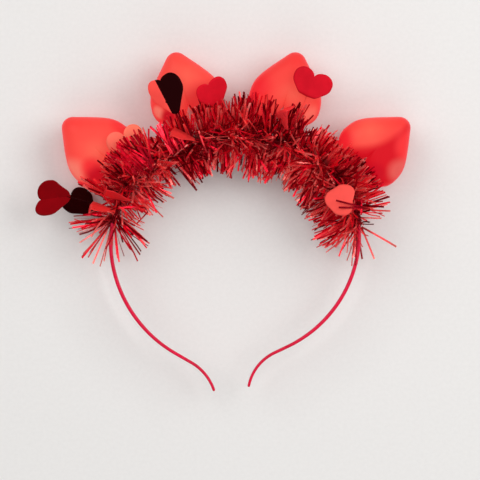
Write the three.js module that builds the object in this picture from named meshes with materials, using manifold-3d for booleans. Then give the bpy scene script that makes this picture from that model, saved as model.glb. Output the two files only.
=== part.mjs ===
import * as THREE from 'three';
import { mergeVertices } from 'three/addons/utils/BufferGeometryUtils.js';
import Module from 'manifold-3d';

// Light-up heart headband, lying on its side. Millimetres, +Z up, +Y towards the crown.
// Places are measured from the middle of the head opening, and moved to the part's origin last.

const wasm = await Module();
wasm.setup();

// Band
const CROWN_HEIGHT = 66.2;
const BAND_THICKNESS = 2.1;
const BAND_WIDTH = 5;
const BAND_CHAMFER = 0.6;
const BAND_LEVEL = 17;
const END_TAPER_LENGTH = 60;
const END_TAPER = 0.75;
const END_CAP_LENGTH = 0.9;
const END_CAP_TAPER = 0.45;
const STEP_TURN = 7.5;
const STEP_STRAIGHT = 5;

// The band's middle line from the crown down to each end.
// bend is a radius, below 0 where it turns outwards, with turn in degrees.
const ARMS = {
  left: [
    { bend: 74, turn: 48 },
    { bend: 49.5, turn: 43.5 },
    { bend: 70, turn: 58.5 },
    { straight: 10 },
    { bend: -27, turn: 41 },
  ],
  right: [
    { bend: 74, turn: 48 },
    { bend: 45, turn: 47 },
    { bend: 68, turn: 59.5 },
    { straight: 8 },
    { bend: -25, turn: 53 },
  ],
};

// Tinsel
const GAP = 0.35;
const SLEEVE_WALL = 1.2;
const SLEEVE_CHAMFER = 1.6;
const SLEEVE_REACH = { left: 89, right: 90 };
const TINSEL_RADIUS = 21.5;
const TINSEL_END_RADIUS = 26;
const TINSEL_RADIUS_SPREAD = 3;
const WHORL_SPACING = 6.7;
const STRIPS_PER_WHORL = 7;
const STRIP_WIDTH = 3.2;
const STRIP_WIDTH_SPREAD = 1;
const STRIP_ROOT_WIDTH = 0.9;
const STRIP_THICKNESS = 0.7;
const STRIP_LEAN = 18;
const STRIP_TWIST = 70;
const END_SPLAY = 52;
const END_SPLAY_LENGTH = 16;
const FLOOR_BLOCK_SIZE = 300;

// Glowing hearts
const HEART_WIDTH = 38.9;
const HEART_LENGTH = 40.8;
const HEART_THICKNESS = 20;
const HEART_WALL = 1.2;
const HEART_SIDE_STEPS = 12;
const DOME_ANGLES = [-70, -44, -16, 16, 44, 70];
const HOLLOW_ANGLES = [-64, -22, 22, 64];
const DOME_SHARPNESS = 0.62;
const DOME_CENTRE_DEPTH = 20.3;

// Proportions of a heart outline, as shares of its width
const TIP_HALF_ANGLE = 41;
const TIP_RADIUS_SHARE = 0.15;
const LOBE_RADIUS_SHARE = 0.252;
const FLANK_PULL_SHARE = 0.5;
const SHOULDER_PULL_SHARE = 0.23;

// The hearts' points, and how far each axis leans from straight down, in degrees
const HEARTS = [
  { number: 1, tipX: -94.8, tipY: 76.1, lean: 48.5 },
  { number: 2, tipX: -34.5, tipY: 113.7, lean: 15.3 },
  { number: 3, tipX: 34.3, tipY: 113.7, lean: -15.3 },
  { number: 4, tipX: 94.9, tipY: 76.2, lean: -48 },
];

// Lamp posts
const POST_RADIUS = 2.6;
const LAMP_RADIUS = 2.1;
const LAMP_DEPTH = 21;
const LAMP_BASE_DEPTH = 27;
const POST_SIDES = 8;
const POST_FOOT_GAP = 0.75;

// Foil hearts
const FOIL_WIDTH = 20.5;
const FOIL_LENGTH = 19.5;
const FOIL_THICKNESS = 0.5;
const FOIL_SIDE_STEPS = 8;
const STEM_WIDTH = 1.4;
const STEM_ROOT_REACH = 3.6;
const STEM_SEAT = 3.5;

// Each foil heart: its point, the way it faces from the point to the notch, and its stem's root.
// heading turns in the plane of the band from +X, pitch lifts off that plane,
// roll turns about the heart's own axis, fold bends its halves, root runs along the band.
const FOIL_HEARTS = [
  { x: -89, y: 35.5, level: 23, heading: 196, pitch: 4, roll: -30, fold: 6, root: -80 },
  { x: -79.5, y: 25.5, level: 13, heading: 141, pitch: -14, roll: 34, fold: 4, root: -84 },
  { x: -33.5, y: 79.4, level: 33, heading: 122, pitch: 4, roll: -22, fold: 24, root: -27 },
  { x: -8.5, y: 79.5, level: 24, heading: 114, pitch: 30, roll: 10, fold: 4, root: -6 },
  { x: -54, y: 51.5, level: 29, heading: 113.5, pitch: 6, roll: 6, fold: 5, root: -52 },
  { x: 36.5, y: 83.8, level: 31.5, heading: 67, pitch: 8, roll: -6, fold: 5, root: 29 },
  { x: 47, y: 32, level: 34, heading: 2, pitch: 16, roll: -10, fold: 5, root: 64 },
  { x: -66.4, y: 24.8, level: 31, heading: 162, pitch: 4, roll: 78, fold: 6, root: -74 },
  { x: -57.2, y: 32.4, level: 33, heading: 168, pitch: 4, roll: -78, fold: 6, root: -62 },
  { x: -21.6, y: 64.3, level: 35, heading: 156, pitch: 4, roll: 76, fold: 6, root: -18 },
  { x: 28, y: 67, level: 34, heading: 115, pitch: 6, roll: -74, fold: 6, root: 22 },
];

// Steps that never repeat, for the strips' angles and spreads
const GOLDEN_SHARE = 0.618034;
const GOLDEN_TURN = 360 * (1 - GOLDEN_SHARE);
const SEED_OFFSET = 0.37;

const UP = new THREE.Vector3(0, 0, 1);
const { degToRad, lerp } = THREE.MathUtils;

const FINISHES = {
  band: { color: 0xc8203a, roughness: 0.28, metalness: 0 },
  tinsel: { color: 0xb3121f, roughness: 0.3, metalness: 0.9 },
  heart: { color: 0xfc4c44, roughness: 0.35, metalness: 0, emissive: 0x7d1813 },
  lamp: { color: 0xe8d8d0, roughness: 0.4, metalness: 0 },
  foil: { color: 0xcf1727, roughness: 0.22, metalness: 0.9 },
};

// A repeatable spread of values from -0.5 to 0.5, one series for each seed
function spread(index, seed) {
  const turns = index * GOLDEN_SHARE * (1 + seed) + seed * SEED_OFFSET;
  return turns - Math.floor(turns) - 0.5;
}

// Stations down one arm: place, outward direction, direction of travel and distance from the crown
function walkArm(stretches, side) {
  const stations = [];
  let x = 0;
  let y = CROWN_HEIGHT;
  let heading = 0;
  let distance = 0;
  const mark = () => stations.push({
    place: new THREE.Vector3(side * x, y, BAND_LEVEL),
    out: new THREE.Vector3(-side * Math.sin(heading), Math.cos(heading), 0),
    forward: new THREE.Vector3(Math.cos(heading), side * Math.sin(heading), 0),
    distance: side * distance,
  });
  mark();
  for (const { bend = 0, turn = 0, straight = 0 } of stretches) {
    const steps = Math.ceil(bend ? turn / STEP_TURN : straight / STEP_STRAIGHT);
    const stepTurn = bend ? -Math.sign(bend) * degToRad(turn) / steps : 0;
    const chord = bend ? 2 * Math.abs(bend) * Math.sin(Math.abs(stepTurn) / 2) : straight / steps;
    for (let step = 0; step < steps; step++) {
      x += chord * Math.cos(heading + stepTurn / 2);
      y += chord * Math.sin(heading + stepTurn / 2);
      heading += stepTurn;
      distance += bend ? Math.abs(bend * stepTurn) : chord;
      mark();
    }
  }
  return stations;
}

const leftArm = walkArm(ARMS.left, -1);
const rightArm = walkArm(ARMS.right, 1);
const bandStations = [...leftArm.slice(1).reverse(), ...rightArm];

// True where the tinsel covers the band
function covered({ distance }) {
  return distance > -SLEEVE_REACH.left && distance < SLEEVE_REACH.right;
}

// The station at a distance along the band, left of the crown below 0
function stationAt(distance) {
  const next = bandStations.findIndex((station) => station.distance > distance);
  const after = bandStations[next];
  const before = bandStations[next - 1];
  const share = (distance - before.distance) / (after.distance - before.distance);
  return {
    place: before.place.clone().lerp(after.place, share),
    out: before.out.clone().lerp(after.out, share).normalize(),
    forward: before.forward.clone().lerp(after.forward, share).normalize(),
    distance,
  };
}

// A rectangle with cut corners, as distances across and up from the band's middle line
function cutCornerSection(thickness, width, chamfer) {
  const across = thickness / 2;
  const up = width / 2;
  return [
    [across, chamfer - up],
    [across - chamfer, -up],
    [chamfer - across, -up],
    [-across, chamfer - up],
    [-across, up - chamfer],
    [chamfer - across, up],
    [across - chamfer, up],
    [across, up - chamfer],
  ];
}

function sectionRing(station, section, scale = 1) {
  return section.map(([across, up]) => station.place.clone()
    .addScaledVector(station.out, across * scale)
    .addScaledVector(UP, up * scale));
}

// Joins rings of equal count into one closed body, with a fan over each end
function loft(rings) {
  const count = rings[0].length;
  const faces = [];
  for (let ring = 0; ring < rings.length - 1; ring++) {
    for (let side = 0; side < count; side++) {
      const here = ring * count + side;
      const beside = ring * count + (side + 1) % count;
      faces.push(here, here + count, beside);
      faces.push(beside, here + count, beside + count);
    }
  }
  const lastRing = (rings.length - 1) * count;
  for (let side = 1; side < count - 1; side++) {
    faces.push(0, side, side + 1);
    faces.push(lastRing, lastRing + side + 1, lastRing + side);
  }
  const geometry = new THREE.BufferGeometry();
  geometry.setFromPoints(rings.flat());
  geometry.setIndex(faces);
  return geometry;
}

function toSolid(geometry) {
  const bare = geometry.clone();
  bare.deleteAttribute('normal');
  bare.deleteAttribute('uv');
  const merged = mergeVertices(bare);
  return new wasm.Manifold(new wasm.Mesh({
    numProp: 3,
    vertProperties: Float32Array.from(merged.attributes.position.array),
    triVerts: Uint32Array.from(merged.index.array),
  }));
}

function toGeometry(solid) {
  const { vertProperties, triVerts } = solid.getMesh();
  const geometry = new THREE.BufferGeometry();
  geometry.setAttribute('position', new THREE.BufferAttribute(vertProperties, 3));
  geometry.setIndex(new THREE.BufferAttribute(triVerts, 1));
  return geometry;
}

function join(solids) {
  return solids.reduce((joined, solid) => joined.add(solid));
}

function largestBody(solid) {
  return solid.decompose().reduce((most, body) => (body.volume() > most.volume() ? body : most));
}

function mesh(name, geometry, finish) {
  geometry.computeVertexNormals();
  const piece = new THREE.Mesh(geometry, new THREE.MeshStandardMaterial(FINISHES[finish]));
  piece.name = name;
  return piece;
}

// Band, thinner towards its rounded ends
function bandGeometry() {
  const section = cutCornerSection(BAND_THICKNESS, BAND_WIDTH, BAND_CHAMFER);
  const first = bandStations[0];
  const last = bandStations[bandStations.length - 1];
  const scaleAt = ({ distance }) => {
    const length = distance < 0 ? -first.distance : last.distance;
    const pastTaper = Math.max(0, Math.abs(distance) - length + END_TAPER_LENGTH) / END_TAPER_LENGTH;
    return 1 + (END_TAPER - 1) * pastTaper;
  };
  const endRing = (station, way) => sectionRing(
    { ...station, place: station.place.clone().addScaledVector(station.forward, way * END_CAP_LENGTH) },
    section,
    END_TAPER * END_CAP_TAPER,
  );
  return loft([
    endRing(first, -1),
    ...bandStations.map((station) => sectionRing(station, section, scaleAt(station))),
    endRing(last, 1),
  ]);
}

// Outline of a heart with its point up, at the origin before rounding, as one side's points
function heartSide(width, length, steps) {
  const lobe = width * LOBE_RADIUS_SHARE;
  const lobeX = width / 2 - lobe;
  const lobeY = lobe - length;
  const tip = width * TIP_RADIUS_SHARE;
  const slope = degToRad(TIP_HALF_ANGLE);
  const tipY = -tip / Math.sin(slope);
  const flank = new THREE.Vector2(tip * Math.cos(slope), tipY + tip * Math.sin(slope));
  const pull = width * FLANK_PULL_SHARE;
  const side = new THREE.Path();
  side.absarc(0, tipY, tip, Math.PI / 2, slope, true);
  side.bezierCurveTo(
    flank.x + pull * Math.sin(slope),
    flank.y - pull * Math.cos(slope),
    width / 2,
    lobeY + width * SHOULDER_PULL_SHARE,
    width / 2,
    lobeY,
  );
  side.absarc(lobeX, lobeY, lobe, 0, -Math.PI + Math.acos(lobeX / lobe), true);
  return side.getSpacedPoints(steps);
}

// A puffed heart: its outline shrinks towards the front and the back of the dome
function puffedHeart(width, length, thickness, angles) {
  const right = heartSide(width, length, HEART_SIDE_STEPS);
  const left = right.slice(1, -1).reverse().map(({ x, y }) => new THREE.Vector2(-x, y));
  const outline = [...right, ...left];
  const highest = Math.sin(degToRad(Math.max(...angles)));
  const shrinkAt = (angle) => Math.cos(degToRad(angle)) ** DOME_SHARPNESS;
  const widest = Math.max(...angles.map(shrinkAt));
  return loft(angles.map((angle) => {
    const shrink = shrinkAt(angle) / widest;
    const z = thickness / 2 * Math.sin(degToRad(angle)) / highest;
    return outline.map(({ x, y }) => {
      const offCentre = y + DOME_CENTRE_DEPTH;
      return new THREE.Vector3(x * shrink, offCentre * shrink - DOME_CENTRE_DEPTH, z);
    });
  }));
}

// A hollow heart with an open neck at its notch
function heartShell() {
  const outer = toSolid(puffedHeart(HEART_WIDTH, HEART_LENGTH, HEART_THICKNESS, DOME_ANGLES));
  const inset = 2 * HEART_WALL;
  const hollow = puffedHeart(
    HEART_WIDTH - inset,
    HEART_LENGTH - inset,
    HEART_THICKNESS - inset,
    HOLLOW_ANGLES,
  );
  hollow.translate(0, -HEART_WALL, 0);
  const neckLength = HEART_LENGTH - LAMP_BASE_DEPTH;
  const neckRadius = POST_RADIUS + GAP;
  const neck = new THREE.CylinderGeometry(neckRadius, neckRadius, neckLength, POST_SIDES);
  neck.translate(0, -LAMP_BASE_DEPTH - neckLength / 2, 0);
  return toGeometry(outer.subtract(toSolid(hollow)).subtract(toSolid(neck)));
}

// How far below a heart's point its axis meets the covered stretch of the band's middle line
function depthToBand({ tipX, tipY, lean }) {
  const axis = new THREE.Vector2(Math.sin(degToRad(lean)), -Math.cos(degToRad(lean)));
  const seen = bandStations.filter(covered).map(({ place }) => {
    const offset = new THREE.Vector2(place.x - tipX, place.y - tipY);
    return { aside: offset.cross(axis), depth: offset.dot(axis) };
  });
  const next = seen.findIndex(({ aside }, index) => index > 0 && aside * seen[index - 1].aside <= 0);
  const share = seen[next - 1].aside / (seen[next - 1].aside - seen[next].aside);
  return lerp(seen[next - 1].depth, seen[next].depth, share);
}

// A lamp on its post, down the heart's axis from inside the heart to the band
function lampPost(heart, grow) {
  const foot = depthToBand(heart) - BAND_THICKNESS / 2 - POST_FOOT_GAP + grow;
  const profile = [
    new THREE.Vector2(0, -foot),
    new THREE.Vector2(POST_RADIUS + grow, -foot),
    new THREE.Vector2(POST_RADIUS + grow, -LAMP_BASE_DEPTH),
    new THREE.Vector2(LAMP_RADIUS + grow, grow - LAMP_BASE_DEPTH + LAMP_RADIUS / 2),
    new THREE.Vector2(LAMP_RADIUS + grow, grow - LAMP_DEPTH - LAMP_RADIUS),
    new THREE.Vector2(LAMP_RADIUS / 2, grow - LAMP_DEPTH),
    new THREE.Vector2(0, grow - LAMP_DEPTH),
  ];
  return new THREE.LatheGeometry(profile, POST_SIDES);
}

// A glowing heart and its lamp post, in a group that sits at the heart's point
function litHeart(heart) {
  const group = new THREE.Group();
  group.add(mesh(`heart_${heart.number}`, heartShell(), 'heart'));
  group.add(mesh(`lamp_${heart.number}`, lampPost(heart, 0), 'lamp'));
  group.position.set(heart.tipX, heart.tipY, BAND_LEVEL);
  group.rotation.z = degToRad(heart.lean);
  group.updateMatrixWorld();
  return group;
}

// The room that a glowing heart and its post need in the tinsel
function litHeartRoom(heart, group) {
  const room = puffedHeart(HEART_WIDTH, HEART_LENGTH, HEART_THICKNESS, DOME_ANGLES);
  const middle = -HEART_LENGTH / 2;
  const grown = (size) => 1 + 2 * GAP / size;
  room.translate(0, -middle, 0);
  room.scale(grown(HEART_WIDTH), grown(HEART_LENGTH), grown(HEART_THICKNESS));
  room.translate(0, middle, 0);
  return [room, lampPost(heart, GAP)].map((geometry) => toSolid(geometry.applyMatrix4(group.matrixWorld)));
}

// A thin heart folded back along its axis, from the points of its right edge
function foldedPlate(edge, thickness, fold) {
  const left = edge.slice(1, -1).reverse().map(({ x, y }) => new THREE.Vector2(-x, y));
  const outline = [...edge, ...left];
  const around = outline.length;
  const slope = Math.tan(fold);
  const layer = (z) => outline.map(({ x, y }) => new THREE.Vector3(x, y, z - Math.abs(x) * slope));
  const mirrored = (index) => (around - index) % around;
  const faces = [];
  for (const [a, b, c] of THREE.ShapeUtils.triangulateShape(edge, [])) {
    faces.push(a, b, c);
    faces.push(mirrored(c), mirrored(b), mirrored(a));
    faces.push(around + c, around + b, around + a);
    faces.push(around + mirrored(a), around + mirrored(b), around + mirrored(c));
  }
  for (let side = 0; side < around; side++) {
    const next = (side + 1) % around;
    faces.push(around + side, around + next, next);
    faces.push(around + side, next, side);
  }
  const geometry = new THREE.BufferGeometry();
  geometry.setFromPoints([...layer(thickness / 2), ...layer(-thickness / 2)]);
  geometry.setIndex(faces);
  return geometry;
}

// A foil heart on a narrow stem that reaches down to the core
function foilHeart(row, grow) {
  const heading = degToRad(row.heading);
  const pitch = degToRad(row.pitch);
  const roll = degToRad(row.roll);
  const axis = new THREE.Vector3(
    Math.cos(heading) * Math.cos(pitch),
    Math.sin(heading) * Math.cos(pitch),
    Math.sin(pitch),
  );
  const facing = UP.clone().addScaledVector(axis, -axis.z).normalize();
  const normal = facing.applyAxisAngle(axis, roll);
  const aside = axis.clone().cross(normal);
  const point = new THREE.Vector3(row.x, row.y, row.level);
  const placed = new THREE.Matrix4().makeBasis(aside, axis, normal).setPosition(point);
  const thickness = FOIL_THICKNESS + 2 * grow;
  const edge = heartSide(FOIL_WIDTH + 2 * grow, FOIL_LENGTH + 2 * grow, FOIL_SIDE_STEPS)
    .map(({ x, y }) => new THREE.Vector2(x, -y - grow));
  const plate = foldedPlate(edge, thickness, degToRad(row.fold));
  plate.applyMatrix4(placed);

  const rootStation = stationAt(row.root);
  const reach = point.clone().addScaledVector(axis, STEM_SEAT).sub(rootStation.place);
  const stemWay = reach.clone().normalize();
  const stemLength = reach.length() - STEM_ROOT_REACH;
  const stem = new THREE.BoxGeometry(STEM_WIDTH + 2 * grow, stemLength + 2 * grow, thickness);
  stem.translate(0, stemLength / 2, 0);
  const stemSide = stemWay.clone().cross(normal).normalize();
  const stemFace = stemSide.clone().cross(stemWay);
  const root = rootStation.place.clone().addScaledVector(stemWay, STEM_ROOT_REACH);
  stem.applyMatrix4(new THREE.Matrix4().makeBasis(stemSide, stemWay, stemFace).setPosition(root));
  return toSolid(plate).add(toSolid(stem));
}

// One strip of tinsel, narrow at its root in the core's wall
function strip(station, index) {
  const around = degToRad(index * GOLDEN_TURN);
  const ends = distanceToEnd(station);
  const splay = END_SPLAY * Math.max(0, 1 - ends.distance / END_SPLAY_LENGTH) * ends.way;
  const lean = degToRad(splay + 2 * STRIP_LEAN * spread(index, 1));
  const way = station.out.clone().multiplyScalar(Math.cos(around) * Math.cos(lean))
    .addScaledVector(UP, Math.sin(around) * Math.cos(lean))
    .addScaledVector(station.forward, Math.sin(lean));
  const twist = degToRad(2 * STRIP_TWIST * spread(index, 2));
  const flat = station.forward.clone().addScaledVector(way, -station.forward.dot(way)).normalize();
  const aside = flat.applyAxisAngle(way, twist);
  const towardsEnd = (Math.abs(station.distance) / SLEEVE_REACH.left) ** 2;
  const radius = lerp(TINSEL_RADIUS, TINSEL_END_RADIUS, towardsEnd);
  const length = radius - SLEEVE_WALL + TINSEL_RADIUS_SPREAD * spread(index, 3);
  const width = STRIP_WIDTH + 2 * STRIP_WIDTH_SPREAD * spread(index, 4);
  const geometry = new THREE.BoxGeometry(length, 1, STRIP_THICKNESS);
  geometry.translate(length / 2, 0, 0);
  const points = geometry.attributes.position;
  for (let corner = 0; corner < points.count; corner++) {
    const atTip = points.getX(corner) > 0;
    points.setY(corner, points.getY(corner) * (atTip ? width : STRIP_ROOT_WIDTH));
  }
  const root = station.place.clone()
    .addScaledVector(station.out, Math.cos(around) * (BAND_THICKNESS + SLEEVE_WALL) / 2)
    .addScaledVector(UP, Math.sin(around) * (BAND_WIDTH + SLEEVE_WALL) / 2);
  const placed = new THREE.Matrix4().makeBasis(way, aside, way.clone().cross(aside));
  return toSolid(geometry.applyMatrix4(placed.setPosition(root)));
}

function distanceToEnd({ distance }) {
  const toLeft = distance + SLEEVE_REACH.left;
  const toRight = SLEEVE_REACH.right - distance;
  return toLeft < toRight ? { distance: toLeft, way: -1 } : { distance: toRight, way: 1 };
}

function tinselGeometry(rooms) {
  const stations = [
    stationAt(-SLEEVE_REACH.left),
    ...bandStations.filter(covered),
    stationAt(SLEEVE_REACH.right),
  ];
  const bandRoom = (margin, chamfer) => cutCornerSection(
    BAND_THICKNESS + 2 * margin,
    BAND_WIDTH + 2 * margin,
    chamfer,
  );
  const sleeveSection = bandRoom(GAP + SLEEVE_WALL, SLEEVE_CHAMFER);
  const sleeve = toSolid(loft(stations.map((station) => sectionRing(station, sleeveSection))));

  const strips = [];
  const whorls = Math.round((SLEEVE_REACH.left + SLEEVE_REACH.right) / WHORL_SPACING);
  const stripCount = whorls * STRIPS_PER_WHORL;
  for (let index = 0; index < stripCount; index++) {
    const share = (index + 0.5) / stripCount;
    const station = stationAt(lerp(-SLEEVE_REACH.left, SLEEVE_REACH.right, share));
    strips.push(strip(station, index));
  }

  const channelSection = bandRoom(GAP, BAND_CHAMFER);
  const channel = toSolid(loft(bandStations.map((station) => sectionRing(station, channelSection))));
  const floor = new THREE.BoxGeometry(FLOOR_BLOCK_SIZE, FLOOR_BLOCK_SIZE, FLOOR_BLOCK_SIZE);
  floor.translate(0, 0, -FLOOR_BLOCK_SIZE / 2);
  return toGeometry(largestBody(
    join([sleeve, ...strips]).subtract(join([channel, toSolid(floor), ...rooms])),
  ));
}

const headband = new THREE.Group();
headband.add(mesh('band', bandGeometry(), 'band'));

const litHearts = HEARTS.map(litHeart);
headband.add(...litHearts);

const foilSolids = FOIL_HEARTS.map((row) => foilHeart(row, 0));
foilSolids.forEach((solid, index) => {
  headband.add(mesh(`foil_heart_${index + 1}`, toGeometry(solid), 'foil'));
});

const rooms = [
  ...HEARTS.flatMap((heart, index) => litHeartRoom(heart, litHearts[index])),
  ...FOIL_HEARTS.map((row) => foilHeart(row, GAP)),
];
headband.add(mesh('tinsel', tinselGeometry(rooms), 'tinsel'));

// The part's origin is under the middle of its box
const middle = new THREE.Box3().setFromObject(headband, true).getCenter(new THREE.Vector3());
headband.position.set(-middle.x, -middle.y, 0);

export default headband;
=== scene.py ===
import math

import bpy
import numpy as np
from mathutils import Matrix, Vector
from mathutils.bvhtree import BVHTree


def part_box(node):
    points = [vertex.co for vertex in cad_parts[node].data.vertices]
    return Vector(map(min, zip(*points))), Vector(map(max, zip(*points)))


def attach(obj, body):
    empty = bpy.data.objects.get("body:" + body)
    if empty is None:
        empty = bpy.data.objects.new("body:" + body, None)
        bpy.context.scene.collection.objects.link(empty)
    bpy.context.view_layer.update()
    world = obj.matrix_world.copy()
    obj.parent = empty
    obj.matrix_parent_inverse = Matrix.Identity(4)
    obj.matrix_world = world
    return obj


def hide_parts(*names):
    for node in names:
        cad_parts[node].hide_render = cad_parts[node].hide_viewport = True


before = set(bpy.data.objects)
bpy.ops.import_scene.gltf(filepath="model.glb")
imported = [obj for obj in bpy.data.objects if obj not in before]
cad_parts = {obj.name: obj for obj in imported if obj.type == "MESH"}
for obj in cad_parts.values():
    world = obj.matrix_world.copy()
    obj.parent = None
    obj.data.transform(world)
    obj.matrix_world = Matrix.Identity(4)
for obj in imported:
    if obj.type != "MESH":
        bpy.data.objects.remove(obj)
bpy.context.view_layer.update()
scene = bpy.context.scene

# Light-up heart headband, lying on its side and seen from straight above.
# Sizes are in millimetres from the middle of the head opening. to_row() turns them into the frame's metres.
MM = 0.001
SEED = 14
TINY = 1e-6
BAR_CORNERS = 4

# Band
CROWN_HEIGHT = 66.2
BAND_THICKNESS = 2.1
BAND_WIDTH = 5.0
BAND_LEVEL = 17.0
BAND_SQUARENESS = 3.2
BAND_SIDES = 20
END_TAPER_LENGTH = 60.0
END_TAPER = 0.75
END_CAP_LENGTH = 0.9
END_CAP_ANGLES = (82, 60, 38, 18)
LINE_STEP = 1.0

# Each arm from the crown down: a bend's radius, below 0 where it turns outwards, its turn in degrees,
# or a straight length
ARMS = {
    "left": [(74, 48, 0), (49.5, 43.5, 0), (70, 58.5, 0), (0, 0, 10), (-27, 41, 0)],
    "right": [(74, 48, 0), (45, 47, 0), (68, 59.5, 0), (0, 0, 8), (-25, 53, 0)],
}

# Glowing hearts
HEART_WIDTH = 38.9
HEART_LENGTH = 40.8
HEART_THICKNESS = 20.0
HEART_WALL = 1.2
HEART_SIDE_STEPS = 48
DOME_RINGS = 41
HOLLOW_RINGS = 17
DOME_EDGE_ANGLE = 88
DOME_SHARPNESS = 0.62
DOME_CENTRE_DEPTH = 20.3
SEAM_HEIGHT = 0.18
SEAM_WIDTH = 0.5
NECK_RADIUS = 2.95
NECK_TOP_DEPTH = 27.0
NECK_OVERRUN = 1.0
NECK_SIDES = 32

# Each glowing heart: its point, its lean from straight down in degrees, and the side of its outer lobe
HEARTS = {
    "heart_1": {"tip": (-94.8, 76.1), "lean": 48.5, "outer": -1},
    "heart_2": {"tip": (-34.5, 113.7), "lean": 15.3, "outer": -1},
    "heart_3": {"tip": (34.3, 113.7), "lean": -15.3, "outer": 1},
    "heart_4": {"tip": (94.9, 76.2), "lean": -48.0, "outer": 1},
}

# Outline of a heart: half the angle of its point in degrees, shares of its width, and steps
TIP_HALF_ANGLE = 41.0
TIP_RADIUS_SHARE = 0.15
LOBE_RADIUS_SHARE = 0.252
FLANK_PULL_SHARE = 0.5
SHOULDER_PULL_SHARE = 0.23
ARC_STEPS = 40
FLANK_STEPS = 80

# Foil hearts
FOIL_WIDTH = 20.5
FOIL_LENGTH = 19.5
FOIL_THICKNESS = 0.3
FOIL_SIDE_STEPS = 36
FOIL_RINGS = 9
FOIL_CENTRE_SHARE = 0.06
FOIL_CREASE = 0.5
CUFF_RADIUS = 1.5
STEM_WIDTH = 0.45
STEM_ROOT_REACH = 3.6
STEM_SEAT = 1.9

# Each foil heart: its point, the way from point to notch (heading in the plane, pitch off it), roll about
# that way, fold of its halves, the breadth of its left and right halves and its length as shares, the
# slant of its lobes, the radius of its point as a share of its width, the share of its notch's depth that
# shows, where its point curls down and how tightly, where its lobes bend down, where its stem stands along
# the band, how far from its point strips may hide it, the share of strips that may lie over the rest, and
# where its crease lies across it
FOIL_COLUMNS = ("x", "y", "level", "heading", "pitch", "roll", "fold", "left", "right", "long", "slant",
                "tip", "notch", "curl", "curl_radius", "cuff", "root", "veil", "stray", "crease")
FOIL_ROWS = [
    (-86, 33.7, 23, 187, 4, -30, 6, 1.04, 1.04, 1.1, -0.22, 0.26, 0.55, 0, 6, 30, -80, 0, 0, 0),
    (-75.4, 22.8, 13, 141, -14, 34, 4, 0.92, 0.92, 1.04, 0, 0.3, 0.4, 0, 6, 30, -84, 0, 0, 0),
    (-30.7, 75.5, 33, 117.3, 4, -22, 24, 1.0, 0.87, 1.21, 0, 0.15, 0.37, 2, 8, 30, -27, 5, 0, -2.35),
    (-8.5, 78.8, 24, 114, 30, 10, 4, 0.8, 0.92, 1.0, 0, 0.2, 0.45, 6, 6, 30, -6, 11, 0.15, 0),
    (-54, 51.5, 28, 113.5, 6, 6, 5, 1.0, 1.0, 1.0, 0, 0.15, 1.0, 6, 8, 30, -52, 14, 0.25, 0),
    (35.6, 82.2, 31.5, 67, 8, -6, 5, 1.05, 1.08, 1.0, 0, 0.15, 0.76, 6.3, 1.5, 30, 29, 0, 0, 0),
    (43.8, 32.6, 34, -6, 16, -10, 5, 0.83, 0.83, 1.0, 0, 0.36, 0.08, 0, 6, 30, 64, 0, 0.5, 0),
    (-63, 24.8, 29.5, 162, 4, 78, 6, 1.0, 1.0, 1.0, 0, 0.15, 1.0, 4, 8, 14, -74, 8, 0.95, 0),
    (-54.9, 30.2, 31, 168, 4, -78, 6, 1.0, 1.0, 1.0, 0, 0.15, 1.0, 4, 8, 15, -62, 8, 0.95, 0),
    (-19.2, 62.4, 30.5, 156, 4, 76, 6, 1.0, 1.0, 1.0, 0, 0.15, 1.0, 4, 8, 15, -18, 8, 0.95, 0),
    (28, 67, 32.5, 115, 6, -74, 6, 1.0, 1.0, 1.0, 0, 0.15, 1.0, 4, 8, 11, 22, 8, 0.95, 0),
]
FOIL_HEARTS = [dict(zip(FOIL_COLUMNS, row)) for row in FOIL_ROWS]

# The tinsel's core, its reach given by distance from the crown
SLEEVE_REACH = (-89.0, 90.0)
SLEEVE_RADIUS = 2.9
SLEEVE_SHAPE = (0.72, 1.1)
SLEEVE_RINGS = 360
SLEEVE_SIDES = 14
SLEEVE_TURNS = 46
SLEEVE_RIDGE = 0.35
RIDGES_PER_TURN = 2
SLEEVE_END_LENGTH = 3.0
SLEEVE_END_SHARE = 0.55
# The core's dark tone, and a reach near the core that gives it the tinsel's painted shade
SLEEVE_TONE = 0.1
SLEEVE_SHADE_REACH = 0.05

# Every strip of the tinsel. Its twist and unwind vary in degrees, its curl in shares of its length
STRIP_WIDTH = (0.62, 1.12)
STRIP_THICKNESS = 0.07
STRIP_STEPS = 5
STRIP_SAMPLES = 13
STRIP_ROOT_RADIUS = 1.6
STRIP_TWIST = 38.0
STRIP_UNWIND = 24.0
STRIP_CURL = 0.05
ABOVE_CURL = 0.28
TONE_SPREAD = 0.36
TONE_RANGE = (0.08, 1.0)
UNDER_SHADE = 0.22

# How strips keep clear of the floor, the glowing hearts and the foil hearts
FLOOR_CLEARANCE = 0.35
TIP_CLEARANCE = 0.8
HEART_CLEARANCE = 0.5
UNDER_SLOPE = -0.15
STEEPEST_RISE = 1.1
FOIL_GAP_SHARE = 0.04
SHORTEST_SHARE = 0.3

# Strips in tufts all round the core. Leans are in degrees, lengths in shares of the reach
TUFTS = 410
STRIPS_PER_TUFT = 8
TUFT_MARGIN = 1.0
TUFT_SPREAD = 1.5
TUFT_TURN_SPREAD = 0.12
TUFT_LEAN = 7.0
TUFT_TONE = 0.12
TUFT_LENGTH = (0.82, 1.04)
FLATTENING = 0.66
SWELL_LENGTHS = (5.7, 2.3)
SWELL_TURNS = (2, 3)
SWELL_LEAN = 6.0
STRIP_LEAN = 3.0
STRAY_SHARE = 0.05
STRAY_LEAN = 40.0
ABOVE_LEAN = 28.0
FULL_SHARE = 0.72
FULL_LENGTH = (0.84, 1.05)
SHORT_LENGTH = (0.5, 0.84)
END_SPLAY = 20.0
END_SPLAY_LENGTH = 18.0
SPARSE_LENGTH = 22.0
SPARSE_SHARE = 0.84
SPARSE_POWER = 0.4

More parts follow.
